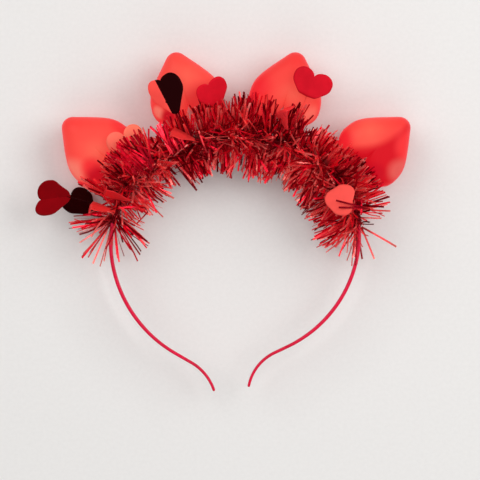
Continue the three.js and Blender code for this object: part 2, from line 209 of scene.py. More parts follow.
# Strips that stand out at the core's two ends
END_STRIPS = 15
END_RADIUS = 25.0
END_LENGTH = (0.7, 1.0)
END_LEAN = (30, 86)
END_TONE = 0.62
BARE_SHARE = 0.75

# Short strips that stand over the core
LAID_STRIPS = 300
LAID_OFFSET = 9.0
LAID_STEEPNESS = (0.3, 1.8)
LAID_RISE = (4.0, 11.0)
LAID_LENGTH = (9.0, 15.0)
LAID_TONE = 0.5

# Strips added over the glowing hearts, over a lamp post and where the tufts leave gaps
FRINGE_BACK = (-4, 5)
FRINGE_LEAN = 7.0
FRINGE_LENGTH = (0.8, 1.0)
LIFTED_LEAN = 12.0
LIFTED_TONE_SHARE = 0.5

# Each group of them: first and last place along the band, lowest and highest turn round it in degrees with 0
# outwards and 90 up, count, length, tone, which paints the light and shade where the group lies, and how far
# above the core they start
FRINGE_COLUMNS = ("first", "last", "low", "high", "count", "length", "tone", "lift")
FRINGE_ROWS = [
    (-62, -46, 46, 55, 34, 29, 0.45, 0),
    (-62, -47, 4, 18, 56, 21.5, 0.4, 14),
    (-16, 4, 32, 52, 50, 24, 0.5, 0),
    (3, 30, 12, 42, 70, 25, 0.3, 0),
    (-67, -58, 10, 40, 36, 22, 0.45, 0),
    (-79, -74, 4, 30, 24, 26, 0.45, 0),
    (54, 82, 8, 40, 80, 20.5, 0.6, 0),
    (38, 60, 20, 70, 60, 19, 0.68, 0),
    (14, 30, 40, 62, 30, 27, 0.4, 0),
    (-26, -14, 55, 70, 16, 27, 0.5, 0),
    (-40, -22, 4, 12, 30, 17.5, 0.5, 17),
    (-80, -62, 55, 70, 24, 27, 0.45, 0),
    (68, 84, 150, 190, 34, 27, 0.56, 0),
    (36, 76, -35, 8, 90, 18.5, 0.36, 0),
    (57, 65, 12, 60, 26, 15, 0.4, 0),
]

# Strips folded over the foil heart nearest the right end, as points from core to tip, and their look
FOLDED_STRIPS = [
    [(64.5, 27.5, 18), (70, 26.5, 29), (70.5, 26.8, 37),
     (66, 27.6, 40.6), (59.5, 29.2, 40.6), (53.3, 30.8, 39.4)],
    [(65.5, 24.5, 18), (71.5, 25.5, 29), (71.5, 26.3, 37),
     (67, 26.8, 40.4), (61, 27, 40.4), (54.7, 27.1, 39.3)],
]
FOLDED_LOOK = {"distance": 66, "width": 1, "twist": 0, "unwind": 0, "tone": 0.2}

# How far the strips reach outside and inside the band, by distance from the crown
OUTER_REACH = {
    -90: 28, -84: 27, -76: 26, -70: 16, -64: 22, -50: 22, -47: 20, -44: 15, -39: 12, -35: 15.5, -33: 18.5,
    -28: 21, -15: 22, 0: 23.5, 10: 24.5, 20: 24.5, 30: 20.5, 35: 15.5, 40: 20.5, 46: 18, 60: 16.5, 70: 18,
    76: 21, 90: 19.5,
}
INNER_REACH = {
    -90: 28, -85: 26, -80: 20, -75: 15, -70: 20, -65: 25.5, -61: 24, -56: 14, -50: 14.5, -45: 18, -40: 24,
    -35: 24, -25: 21.5, -20: 20.5, -15: 17.5, -10: 21.5, -5: 22, 0: 25, 10: 25, 15: 23.5, 35: 22.5,
    45: 26.5, 55: 28.5, 60: 30, 70: 30, 80: 28.5, 90: 28,
}

# The strips' mean tone by distance from the crown: painted light and shade, brighter where more light falls
# on them
BODY_LIGHT_TONE = {-90: 0.54, -55: 0.57, -35: 0.5, 15: 0.51, 40: 0.62, 68: 0.64, 90: 0.56}

# Looks: the part of a noise that is used, plain colours, and the colour sockets of a Mix node by number, as
# their names repeat
NOISE_SPAN = (0.3, 0.7)
BLACK = (0.0, 0.0, 0.0, 1.0)
WHITE = (1.0, 1.0, 1.0, 1.0)
BAND_SHEEN = (1.0, 0.25, 0.4, 1.0)
FILM_SHEEN = (1.0, 0.2, 0.22, 1.0)
FILM_SHADE = (0.84, 0.84, 0.84, 1.0)
FILM_ROUGHNESS_SPAN = 0.1
MIX_FIRST = 6
MIX_SECOND = 7
MIX_RESULT = 2

# Camera and floor
PHOTO_SIZE = 480
MM_PER_PIXEL = 0.54
PHOTO_CENTRE = (2.16, 9.72)
CAMERA_DISTANCE = 1.6
CAMERA_CLIP = (0.01, 50)
SENSOR = 36.0
FLOOR_REACH = 3.0

# Each softbox: place in metres, side in metres, watts
SOFTBOXES = [
    ((-0.75, 0.65, 1.0), 1.0, 7.0),
    ((0.85, 0.35, 0.9), 0.9, 8.0),
    ((0.1, -0.95, 0.9), 1.0, 3.0),
    ((0.0, 0.1, 2.2), 1.4, 7.0),
]
LIGHT_TARGET = (0, 40)
WORLD_STRENGTH = 0.32

UP = np.array([0.0, 0.0, 1.0])
rng = np.random.default_rng(SEED)


# Places in the frame

def head_origin():
    """The row's place of the head opening's middle, from the crown and from the two upper hearts."""
    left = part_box("heart_2")[0].x
    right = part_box("heart_3")[1].x
    tips = HEARTS["heart_2"]["tip"][0] + HEARTS["heart_3"]["tip"][0]
    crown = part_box("band")[1].y
    return np.array([
        (left + right) / 2 - tips / 2 * MM,
        crown - (CROWN_HEIGHT + BAND_THICKNESS / 2) * MM,
        0.0,
    ])


ORIGIN = head_origin()


def to_row(points):
    return np.asarray(points, float) * MM + ORIGIN


# The band's middle line

def walk_arm(stretches, side):
    """Rows of x, y, forward angle and distance from the crown, down one arm."""
    x, y, heading, distance = 0.0, CROWN_HEIGHT, 0.0, 0.0
    rows = [(x, y, heading, distance)]
    for bend, turn, straight in stretches:
        length = straight or abs(bend) * math.radians(turn)
        steps = math.ceil(length / LINE_STEP)
        step_turn = -math.copysign(math.radians(turn) / steps, bend) if bend else 0.0
        chord = 2 * abs(bend) * math.sin(abs(step_turn) / 2) if bend else length / steps
        for _ in range(steps):
            x += chord * math.cos(heading + step_turn / 2)
            y += chord * math.sin(heading + step_turn / 2)
            heading += step_turn
            distance += length / steps
            rows.append((x, y, heading, distance))
    return np.array(rows) * (side, 1, side, side)


LINE = np.vstack([walk_arm(ARMS["left"], -1)[:0:-1], walk_arm(ARMS["right"], 1)])


def line_at(distance):
    """Place, outward direction and forward direction on the band's middle line, for many distances."""
    distance = np.asarray(distance, float)
    x, y, angle = (np.interp(distance, LINE[:, 3], LINE[:, column]) for column in range(3))
    flat = np.zeros_like(x)
    place = np.stack([x, y, flat + BAND_LEVEL], -1)
    forward = np.stack([np.cos(angle), np.sin(angle), flat], -1)
    out = np.stack([-np.sin(angle), np.cos(angle), flat], -1)
    return place, out, forward


# Meshes

def add_object(name, data):
    thing = bpy.data.objects.new(name, data)
    scene.collection.objects.link(thing)
    return thing


def new_piece(name, points, faces, smooth=True):
    """A mesh object from points in the frame's metres."""
    mesh = bpy.data.meshes.new(name)
    mesh.from_pydata(np.asarray(points).tolist(), [], faces)
    mesh.validate()
    if smooth:
        mesh.shade_smooth()
    else:
        mesh.shade_flat()
    return add_object(name, mesh)


def ring_faces(rings, sides):
    """Quads between rings of equal count, with both ends closed."""
    faces = []
    for ring in range(rings - 1):
        for side in range(sides):
            here = ring * sides + side
            beside = ring * sides + (side + 1) % sides
            faces.append((here, beside, beside + sides, here + sides))
    faces.append(tuple(range(sides))[::-1])
    faces.append(tuple(range((rings - 1) * sides, rings * sides)))
    return faces


def bar_corners(centre, half, thick):
    """The four corners of a flat bar's section."""
    return [centre - half - thick, centre + half - thick, centre + half + thick, centre - half + thick]


def set_attribute(piece, name, values, domain="POINT"):
    """A number for each point or face, for its material to read."""
    attribute = piece.data.attributes.new(name, "FLOAT", domain)
    attribute.data.foreach_set("value", np.asarray(values, np.float32))


def dress(piece, material, node):
    """Puts a piece on the part's one body, in place of the node that it stands for."""
    piece.data.materials.clear()
    piece.data.materials.append(material)
    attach(piece, "root")
    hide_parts(node)


# Materials

def srgb(red, green, blue):
    """A colour given in a picture's 0 to 255, as the linear values that shaders take."""
    def linear(value):
        share = value / 255
        return share / 12.92 if share <= 0.04045 else ((share + 0.055) / 1.055) ** 2.4
    return (linear(red), linear(green), linear(blue), 1.0)


class Paint:
    """A material and its nodes. Most methods add a node and give back the socket that it ends in."""

    def __init__(self, name):
        self.material = bpy.data.materials.new(name)
        self.material.use_nodes = True
        self.tree = self.material.node_tree

    def feed(self, node, inputs):
        """Gives a node's inputs, by name or number, plain values or other nodes' sockets."""
        for key, value in inputs.items():
            if isinstance(value, bpy.types.NodeSocket):
                self.tree.links.new(value, node.inputs[key])
            else:
                node.inputs[key].default_value = value

    def shade(self, inputs):
        """Feeds the shader and gives back the finished material."""
        self.feed(self.tree.nodes["Principled BSDF"], inputs)
        return self.material

    def add(self, kind, inputs, **settings):
        node = self.tree.nodes.new("ShaderNode" + kind)
        for key, value in settings.items():
            setattr(node, key, value)
        self.feed(node, inputs)
        return node

    def place(self):
        return self.add("TexCoord", {}).outputs["Object"]

    def attribute(self, name):
        return self.add("Attribute", {}, attribute_name=name).outputs["Fac"]

    def noise(self, scale, detail=3.0):
        inputs = {"Vector": self.place(), "Scale": scale, "Detail": detail}
        return self.add("TexNoise", inputs).outputs["Fac"]

    def calculate(self, operation, first, second):
        return self.add("Math", {0: first, 1: second}, operation=operation).outputs[0]

    def distance(self, place, centre):
        """How far places lie from a point given in millimetres."""
        inputs = {0: place, 1: [value * MM for value in centre]}
        return self.add("VectorMath", inputs, operation="DISTANCE").outputs["Value"]

    def map_range(self, value, source, target, smooth=False):
        inputs = {"Value": value, "From Min": source[0], "From Max": source[1],
                  "To Min": target[0], "To Max": target[1]}
        kind = "SMOOTHSTEP" if smooth else "LINEAR"
        return self.add("MapRange", inputs, interpolation_type=kind).outputs["Result"]

    def from_noise(self, noise, low, high):
        return self.map_range(noise, NOISE_SPAN, (low, high))

    def ramp(self, value, stops):
        node = self.add("ValToRGB", {"Fac": value})
        elements = node.color_ramp.elements
        while len(elements) < len(stops):
            elements.new(0.5)
        for element, (position, colour) in zip(elements, stops):
            element.position = position
            element.color = colour
        return node.outputs["Color"]

    def tint(self, noise, low, high):
        return self.ramp(noise, list(zip(NOISE_SPAN, (low, high))))

    def mix(self, share, first, second, blend="MIX"):
        inputs = {"Factor": share, MIX_FIRST: first, MIX_SECOND: second}
        node = self.add("Mix", inputs, data_type="RGBA", blend_type=blend)
        return node.outputs[MIX_RESULT]

    def bump(self, height, strength, distance):
        inputs = {"Height": height, "Strength": strength, "Distance": distance}
        return self.add("Bump", inputs).outputs["Normal"]


def band_material():
    """Glossy crimson plastic with faint flow marks."""
    paint = Paint("band_plastic")
    marks = paint.noise(90.0)
    return paint.shade({
        "Base Color": paint.tint(marks, srgb(206, 8, 50), srgb(226, 14, 62)),
        "Roughness": paint.from_noise(marks, 0.26, 0.38),
        "Specular IOR Level": 0.3,
        "Specular Tint": BAND_SHEEN,
        "Coat Weight": 0.15,
        "Coat Roughness": 0.1,
        "Normal": paint.bump(paint.noise(700.0), strength=0.15, distance=0.0002),
    })


def heart_material(name, look, outer):
    """Translucent red plastic lit from inside: brightest at its glow, with painted highlights and painted
    shade as spots, and a redder rim.
    """
    paint = Paint(name)
    place = paint.place()
    soft = paint.noise(60.0, detail=2.0)

    x, y, z = look["glow"]
    waver = paint.from_noise(soft, -GLOW_WAVER * MM, GLOW_WAVER * MM)
    apart = paint.calculate("ADD", paint.distance(place, (x * outer, y, z)), waver)
    share = paint.map_range(apart, (0.0, look["glow_reach"] * MM), (0.0, 1.0))
    colour = paint.ramp(share, GLOW_STOPS)
    # Painted highlights and painted shade, one spot at a time
    for tint, (x, y, z), (near, far), strength in look["spots"]:
        apart = paint.distance(place, (x * outer, y, z))
        share = paint.map_range(apart, (near * MM, far * MM), (strength, 0.0), smooth=True)
        colour = paint.mix(share, colour, HEART_TINTS[tint])

    height = paint.calculate("ABSOLUTE", paint.add("SeparateXYZ", {0: place}).outputs["Z"], 0.0)
    low, high = RIM_HEIGHTS
    rim = paint.map_range(height, (low * MM, high * MM), (RIM_SHARE, 0.0), smooth=True)
    colour = paint.mix(rim, colour, HEART_TINTS["red"])

    return paint.shade({
        "Base Color": paint.mix(HEART_BODY_DEPTH, colour, BLACK),
        "Emission Color": colour,
        "Emission Strength": HEART_GLOW,
        "Specular IOR Level": 0.06,
        "Roughness": paint.from_noise(soft, 0.3, 0.42),
        "Normal": paint.bump(paint.noise(900.0), strength=0.06, distance=0.0002),
    })


def foil_material(name, left, right, stem, metallic, roughness, lift):
    """Metallised film with a faint crumple, each half of the heart in its own light."""
    paint = Paint(name)
    crumple = paint.noise(120.0)
    # Painted light, shade and reflection: each half, and then the stem, in the light that falls on it
    halves = paint.mix(paint.attribute("half"), left, right)
    plain = paint.mix(paint.attribute("stem"), halves, stem)
    colour = paint.mix(1.0, plain, paint.tint(crumple, FILM_SHADE, WHITE), "MULTIPLY")
    return paint.shade({
        "Base Color": colour,
        # Painted glow: the light from the glowing hearts that shows on the film
        "Emission Color": colour,
        "Emission Strength": lift,
        "Metallic": metallic,
        "Specular IOR Level": 0.08,
        "Specular Tint": FILM_SHEEN,
        "Roughness": paint.from_noise(crumple, roughness, roughness + FILM_ROUGHNESS_SPAN),
        "Normal": paint.bump(crumple, strength=0.2, distance=0.0004),
    })


# Tones of the tinsel from the deepest to the brightest, and how they change along a strip: painted shade
# that darkens it near the core, and painted highlights that pale the tips of the bright ones
TINSEL_STOPS = [
    (0.0, srgb(80, 0, 12)),
    (0.25, srgb(150, 2, 22)),
    (0.55, srgb(238, 16, 46)),
    (0.82, srgb(255, 74, 80)),
    (1.0, srgb(255, 112, 108)),
]
TINSEL_CORE_SHADE = srgb(84, 0, 10)
TINSEL_TIP_HIGHLIGHT = srgb(255, 136, 126)
CORE_SHADE_REACH = (0.0, 0.5)
CORE_SHADE_SHARE = (0.35, 1.0)
TIP_HIGHLIGHT_REACH = (0.75, 1.0)
TIP_HIGHLIGHT_TONES = (0.65, 0.95)
TIP_HIGHLIGHT_SHARE = 0.9


def tinsel_material():
    """Red metallised strips: each has its own tone, partly random and partly painted light and shade, with
    painted shade towards the core, painted highlights on some tips and a faint painted glow.
    """
    paint = Paint("tinsel_foil")
    tone = paint.attribute("tone")
    reach = paint.attribute("reach")
    depth = paint.map_range(reach, CORE_SHADE_REACH, CORE_SHADE_SHARE, smooth=True)
    deep = paint.mix(depth, TINSEL_CORE_SHADE, paint.ramp(tone, TINSEL_STOPS))
    tip = paint.map_range(reach, TIP_HIGHLIGHT_REACH, (0.0, 1.0), smooth=True)
    bright = paint.map_range(tone, TIP_HIGHLIGHT_TONES, (0.0, TIP_HIGHLIGHT_SHARE), smooth=True)
    colour = paint.mix(paint.calculate("MULTIPLY", tip, bright), deep, TINSEL_TIP_HIGHLIGHT)
    crinkle = paint.noise(420.0)
    return paint.shade({
        "Base Color": colour,
        # A faint painted glow that lifts the strips, standing in for light from the glowing hearts
        "Emission Color": colour,
        "Emission Strength": 0.08,
        "Metallic": 0.7,
        "Specular IOR Level": 0.2,
        "Specular Tint": FILM_SHEEN,
        "Roughness": paint.from_noise(crinkle, 0.17, 0.33),
        "Coat Weight": 0.06,
        "Coat Roughness": 0.1,
        "Normal": paint.bump(crinkle, strength=0.25, distance=0.0003),
    })


def lamp_material():
    """Pale moulded plastic, faintly mottled."""
    paint = Paint("lamp_plastic")
    mottle = paint.noise(200.0)
    return paint.shade({
        "Base Color": paint.ramp(mottle, [(0.35, srgb(222, 196, 188)), (0.65, srgb(240, 222, 214))]),
        "Roughness": paint.from_noise(mottle, 0.36, 0.5),
        "Normal": paint.bump(mottle, strength=0.1, distance=0.0002),
    })


# Band

def make_band():
    """The head band, thinner towards its ends and rounded at them."""
    turns = np.linspace(0, 2 * math.pi, BAND_SIDES, endpoint=False)
    corner = 2 / BAND_SQUARENESS
    across = np.sign(np.cos(turns)) * np.abs(np.cos(turns)) ** corner * BAND_THICKNESS / 2
    rise = np.sign(np.sin(turns)) * np.abs(np.sin(turns)) ** corner * BAND_WIDTH / 2

    first, last = LINE[0, 3], LINE[-1, 3]
    caps = np.radians(END_CAP_ANGLES)
    distances = np.concatenate([np.full(len(caps), first), LINE[:, 3], np.full(len(caps), last)])
    past = np.concatenate([-np.sin(caps), np.zeros(len(LINE)), np.sin(caps[::-1])]) * END_CAP_LENGTH
    rounding = np.concatenate([np.cos(caps), np.ones(len(LINE)), np.cos(caps[::-1])])
    length = np.where(distances < 0, -first, last)
    into_taper = np.clip(np.abs(distances) - length + END_TAPER_LENGTH, 0, None) / END_TAPER_LENGTH
    scale = (1 + (END_TAPER - 1) * into_taper) * rounding

    place, out, forward = line_at(distances)
    centre = place + forward * past[:, None]
    points = (centre[:, None]
              + out[:, None] * (across * scale[:, None])[..., None]
              + UP * (rise * scale[:, None])[..., None])
    piece = new_piece("head_band", to_row(points.reshape(-1, 3)), ring_faces(len(distances), BAND_SIDES))
    dress(piece, band_material(), "band")


# Hearts

def arc_points(centre, radius, start, stop):
    angles = np.linspace(start, stop, ARC_STEPS)
    return np.stack([centre[0] + radius * np.cos(angles), centre[1] + radius * np.sin(angles)], -1)


def heart_outline(width, length, steps, tip_share=TIP_RADIUS_SHARE):
    """A heart's outline with its point up at the origin, right side first, as a closed loop."""
    lobe = width * LOBE_RADIUS_SHARE
    lobe_x = width / 2 - lobe
    lobe_y = lobe - length
    tip = width * tip_share
    slope = math.radians(TIP_HALF_ANGLE)
    tip_y = -tip / math.sin(slope)
    flank = np.array([tip * math.cos(slope), tip_y + tip * math.sin(slope)])
    pull = width * (FLANK_PULL_SHARE - tip_share + TIP_RADIUS_SHARE)
    pulled = flank + pull * np.array([math.sin(slope), -math.cos(slope)])
    shoulder = np.array([width / 2, lobe_y])
    raised = shoulder + (0, width * SHOULDER_PULL_SHARE)
    t = np.linspace(0, 1, FLANK_STEPS)[:, None]
    curve = (flank * (1 - t) ** 3 + pulled * 3 * t * (1 - t) ** 2
             + raised * 3 * t ** 2 * (1 - t) + shoulder * t ** 3)
    side = np.vstack([
        arc_points((0, tip_y), tip, math.pi / 2, slope)[:-1],
        curve[:-1],
        arc_points((lobe_x, lobe_y), lobe, 0, -math.pi + math.acos(lobe_x / lobe)),
    ])
    along = np.concatenate([[0], np.cumsum(np.linalg.norm(np.diff(side, axis=0), axis=1))])
    even = np.linspace(0, along[-1], steps + 1)
    right = np.stack([np.interp(even, along, side[:, axis]) for axis in range(2)], -1)
    right[[0, -1], 0] = 0
    left = right[-2:0:-1] * (-1, 1)
    return np.vstack([right, left])


def dome(width, length, thickness, rings, seam=0.0):
    """A puffed heart: its outline shrinks towards the front and the back."""
    outline = heart_outline(width, length, HEART_SIDE_STEPS)
    centre = np.array([0, -DOME_CENTRE_DEPTH])
    spokes = outline - centre
    outward = spokes / np.linalg.norm(spokes, axis=1)[:, None]
    angles = np.radians(np.linspace(-DOME_EDGE_ANGLE, DOME_EDGE_ANGLE, rings))
    layers = []
    for angle in angles:
        z = thickness / 2 * math.sin(angle)
        ridge = seam * math.exp(-(z / SEAM_WIDTH) ** 2)
        flat = centre + spokes * math.cos(angle) ** DOME_SHARPNESS + outward * ridge
        layers.append(np.column_stack([flat, np.full(len(flat), z)]))
    return np.vstack(layers), ring_faces(rings, len(outline))


def cut(piece, name, points, faces):
    """Cuts a closed form out of a piece."""
    tool = new_piece(name, points, faces)
    tool.matrix_world = piece.matrix_world
    modifier = piece.modifiers.new(name, "BOOLEAN")
    modifier.operation = "DIFFERENCE"
    modifier.solver = "EXACT"
    modifier.object = tool
    bpy.context.view_layer.update()
    evaluated = piece.evaluated_get(bpy.context.evaluated_depsgraph_get())
    result = bpy.data.meshes.new_from_object(evaluated)
    piece.modifiers.clear()
    piece.data = result
    bpy.data.objects.remove(tool)


def neck_form():
    """The round way into a heart at its notch, for its lamp post."""
    turns = np.linspace(0, 2 * math.pi, NECK_SIDES, endpoint=False)
    across = np.cos(turns) * NECK_RADIUS
    rise = -np.sin(turns) * NECK_RADIUS
    ring = np.stack([across, np.zeros(NECK_SIDES), rise], -1)
    points = np.vstack([ring - (0, HEART_LENGTH + NECK_OVERRUN, 0), ring - (0, NECK_TOP_DEPTH, 0)])
    return points, ring_faces(2, NECK_SIDES)


def make_heart(name, row, look):
    """A glowing heart: a puffed shell, hollow, with a way in for its lamp post."""
    points, faces = dome(HEART_WIDTH, HEART_LENGTH, HEART_THICKNESS, DOME_RINGS, SEAM_HEIGHT)
    piece = new_piece("glow_" + name, points * MM, faces)
    inset = 2 * HEART_WALL
    inner_sizes = (HEART_WIDTH - inset, HEART_LENGTH - inset, HEART_THICKNESS - inset)
    hollow, hollow_faces = dome(*inner_sizes, HOLLOW_RINGS)
    cut(piece, "hollow", (hollow - (0, HEART_WALL, 0)) * MM, hollow_faces)
    neck, neck_faces = neck_form()
    cut(piece, "neck", neck * MM, neck_faces)
    piece.data.shade_smooth()
    tip = to_row((*row["tip"], BAND_LEVEL))
    piece.matrix_world = Matrix.Translation(tip) @ Matrix.Rotation(math.radians(row["lean"]), 4, "Z")
    dress(piece, heart_material(name + "_glow", look, row["outer"]), name)


# Light of the glowing hearts: the plastic's own depth, its glow and how far that wavers, its redder rim by
# height off the middle plane, and its colours
HEART_BODY_DEPTH = 0.65
HEART_GLOW = 0.64
GLOW_WAVER = 2.5
RIM_HEIGHTS = (1.5, 6.5)
RIM_SHARE = 0.5
GLOW_STOPS = [
    (0.0, srgb(255, 98, 80)),
    (0.3, srgb(255, 80, 70)),
    (0.6, srgb(254, 68, 63)),
    (1.0, srgb(250, 58, 58)),
]
# Tints of the spots: pale, bright and rose are painted highlights, red, deep and crimson painted shade; red
# also deepens the rim
HEART_TINTS = {
    "pale": srgb(255, 126, 108),
    "bright": srgb(255, 58, 60),
    "rose": srgb(238, 104, 96),
    "red": srgb(248, 34, 46),
    "deep": srgb(220, 20, 34),
    "crimson": srgb(204, 8, 32),
}

# Where each heart's light shows: the middle and the reach of its glow, then spots of painted highlight and
# painted shade as tint, place, reaches and share. A spot has its share up to its first reach and none at its
# second, and where the first is the larger one it lies outside. Places are in the heart's own frame, point
# up, with the outer lobe at +X
HEART_LOOKS = {
    "heart_1": {"glow": (0, -27, 9), "glow_reach": 34, "spots": [
        ("pale", (15.6, -25.5, 4), (3, 10), 0.95),
        ("red", (9, -31, 7), (3, 8), 0.8),
        ("crimson", (11, -37, 7), (3, 9), 0.9),
        ("red", (-19, -28, 5), (3, 9), 0.5),
    ]},
    "heart_2": {"glow": (-3.5, -18, 9), "glow_reach": 32, "spots": [
        ("deep", (-8, -33, 8), (4, 14), 0.6),
        ("pale", (16, -32, 5), (2, 5), 0.9),
        ("crimson", (11.5, -36, 7), (2, 6), 0.9),
    ]},
    "heart_3": {"glow": (4, -26, 9), "glow_reach": 28, "spots": [
        ("deep", (0, -20, 0), (30, 60), 0.1),
        ("red", (-18, -28, 6), (4, 14), 0.8),
        ("pale", (15, -34, 5), (2, 8), 0.6),
    ]},
    "heart_4": {"glow": (-9.5, -22, 9), "glow_reach": 24, "spots": [
        ("deep", (-29.4, -11.3, 0), (35.2, 29.8), 1.0),
        ("bright", (12, -11, 5), (6, 13), 0.9),
        ("rose", (16, -25, 5), (3, 9), 0.75),
        ("crimson", (9, -35, 7), (2, 8), 0.8),
        ("red", (-17, -38, 6), (4, 10), 0.9),
    ]},
}


# Foil hearts

def foil_frame(row):
    """Point and directions of a foil heart: across, from point to notch, and out of its face."""
    heading, pitch, roll = (math.radians(row[key]) for key in ("heading", "pitch", "roll"))
    axis = Vector((
        math.cos(heading) * math.cos(pitch),
        math.sin(heading) * math.cos(pitch),
        math.sin(pitch),
    ))
    up = Vector(UP)
    facing = (up - axis * axis.dot(up)).normalized()
    normal = Matrix.Rotation(roll, 3, axis) @ facing
    aside = axis.cross(normal)
    point = np.array([row["x"], row["y"], row["level"]], float)
    return point, np.array(aside), np.array(axis), np.array(normal)


def foil_places(row, x, y, lift=0.0):
    """Places on a foil heart's face: creased along its axis, its point curled down, its lobes bent."""
    point, aside, axis, normal = foil_frame(row)
    crease = np.sqrt((x - row["crease"]) ** 2 + FOIL_CREASE ** 2) - FOIL_CREASE
    fall = -crease * math.tan(math.radians(row["fold"])) + lift
    along = np.clip(y, row["curl"], row["cuff"])
    height = fall
    for past, radius, way in (
        (row["curl"] - y, row["curl_radius"], -1),
        (y - row["cuff"], CUFF_RADIUS, 1),
    ):
        past = np.clip(past, 0, None)
        turn = np.clip(past / radius, 0, math.pi / 2)
        along = along + way * (radius + fall) * np.sin(turn)
        height = height + (radius + fall) * (np.cos(turn) - 1) - (past - turn * radius)
    return point + x[:, None] * aside + along[:, None] * axis + height[:, None] * normal


def foil_outline(row):
    """A foil heart's flat outline with its point at the origin and its lobes along +Y."""
    x, y = (heart_outline(FOIL_WIDTH, FOIL_LENGTH, FOIL_SIDE_STEPS, row["tip"]) * (1, -1)).T
    between_lobes = (np.abs(x) < FOIL_WIDTH * (0.5 - LOBE_RADIUS_SHARE)) & (y > FOIL_LENGTH / 2)
    y = np.where(between_lobes, FOIL_LENGTH - (FOIL_LENGTH - y) * row["notch"], y)
    x = x * np.where(x > 0, row["right"], row["left"])
    y = y * row["long"] + x * row["slant"] * y / FOIL_LENGTH
    for end in (y < FOIL_LENGTH / 2, y > FOIL_LENGTH / 2):
        on_crease = np.flatnonzero(end)[np.argmin(np.abs(x[end] - row["crease"]))]
        x[on_crease] = row["crease"]
    return np.stack([x, y], -1)


def foil_heart_mesh(row):
    """A thin closed heart as points, faces and each face's half."""
    outline = foil_outline(row)
    centre = np.array([row["crease"], FOIL_LENGTH / 2])
    shares = np.linspace(FOIL_CENTRE_SHARE, 1, FOIL_RINGS)
    flat = np.vstack([centre + (outline - centre) * share for share in shares])
    x, y = flat[:, 0], flat[:, 1]
    layers = [foil_places(row, x, y, lift) for lift in (FOIL_THICKNESS / 2, -FOIL_THICKNESS / 2)]
    sides = len(outline)
    layer = len(flat)
    faces = []
    for ring in range(FOIL_RINGS - 1):
        for side in range(sides):
            here = ring * sides + side
            beside = ring * sides + (side + 1) % sides
            quad = (here, here + sides, beside + sides, beside)
            faces.append(quad)
            faces.append(tuple(layer + corner for corner in quad[::-1]))
    rim = layer - sides
    for side in range(sides):
        beside = (side + 1) % sides
        faces.append((rim + side, layer + rim + side, layer + rim + beside, rim + beside))
    faces.append(tuple(range(sides)))
    faces.append(tuple(layer + side for side in range(sides))[::-1])
    across = np.tile(x, 2)
    half = [float(across[list(face)].mean() > row["crease"]) for face in faces]
    return np.vstack(layers), faces, half


def stem_mesh(row):
    """A foil heart's narrow stem, from the tinsel's core to its point."""
    normal = foil_frame(row)[3]
    place = line_at([row["root"]])[0][0]
    seat = foil_outline(row)[:1, 1] + STEM_SEAT
    end = foil_places(row, np.zeros(1), seat)[0]
    way = (end - place) / np.linalg.norm(end - place)
    aside = np.cross(way, normal)
    aside /= np.linalg.norm(aside)
    face = np.cross(aside, way)
    half = STEM_WIDTH / 2 * aside
    thick = FOIL_THICKNESS / 2 * face
    root = place + way * STEM_ROOT_REACH
    points = bar_corners(root, half, thick) + bar_corners(end, half, thick)
    return np.array(points), ring_faces(2, BAR_CORNERS)


# Each foil heart's colours in a picture's values, as its left half, right half and stem: painted light,
# shade and reflection, near-black where the film mirrors darkness and coral where it catches light, each
# half and the stem as light falls on it. Then its metal share, its roughness and a painted glow, the share
# of light from the glowing hearts that shows on it
FOIL_LOOKS = [
    ((152, 3, 14), (132, 2, 10), (34, 1, 2), 0.1, 0.4, 0.0),
    ((32, 1, 2), (32, 1, 2), (32, 1, 2), 0.1, 0.45, 0.0),
    ((255, 84, 76), (22, 1, 2), (120, 2, 14), 0.1, 0.4, 0.2),
    ((227, 23, 42), (227, 23, 42), (227, 23, 42), 0.1, 0.4, 0.0),
    ((255, 112, 94), (255, 122, 98), (255, 112, 94), 0.1, 0.4, 0.12),
    ((217, 22, 40), (217, 22, 40), (255, 72, 66), 0.1, 0.4, 0.0),
    ((255, 88, 80), (255, 88, 80), (255, 88, 80), 0.1, 0.4, 0.0),
    ((244, 56, 56), (244, 56, 56), (200, 20, 36), 0.3, 0.25, 0.12),
    ((232, 44, 50), (232, 44, 50), (200, 20, 36), 0.3, 0.25, 0.1),
    ((244, 60, 60), (244, 60, 60), (200, 20, 36), 0.3, 0.25, 0.12),
    ((244, 56, 62), (244, 56, 62), (200, 20, 36), 0.3, 0.25, 0.12),
]


def make_foil_heart(number, row, look):
    """A foil heart on its stem, as one piece."""
    plate, plate_faces, half = foil_heart_mesh(row)
    stem, stem_faces = stem_mesh(row)
    moved = [tuple(len(plate) + corner for corner in face) for face in stem_faces]
    name = f"foil_heart_{number}"
    piece = new_piece("film_" + name, to_row(np.vstack([plate, stem])), plate_faces + moved)
    set_attribute(piece, "half", half + [0.0] * len(stem_faces), "FACE")
    set_attribute(piece, "stem", [0.0] * len(plate_faces) + [1.0] * len(stem_faces), "FACE")
    left, right, stem_tint, *finish = look
    material = foil_material(name + "_film", srgb(*left), srgb(*right), srgb(*stem_tint), *finish)
    dress(piece, material, name)


# Tinsel

STRIP_COLUMNS = ("distance", "turn", "lean", "lift", "back", "length", "above", "tone")


def strip_rows(count, **columns):
    """The columns of one kind of strip, 0 where nothing is given."""
    rows = {key: np.zeros(count) for key in STRIP_COLUMNS}
    rows.update(columns)
    return rows


def by_distance(values, distance):
    """A value that is given for some distances from the crown, at others."""
    return np.interp(distance, list(values), list(values.values()))


def shaded(tone, turn):
    """A strip's tone, with painted shade where it hangs below the band."""
    return tone + UNDER_SHADE * np.minimum(np.sin(turn), 0)


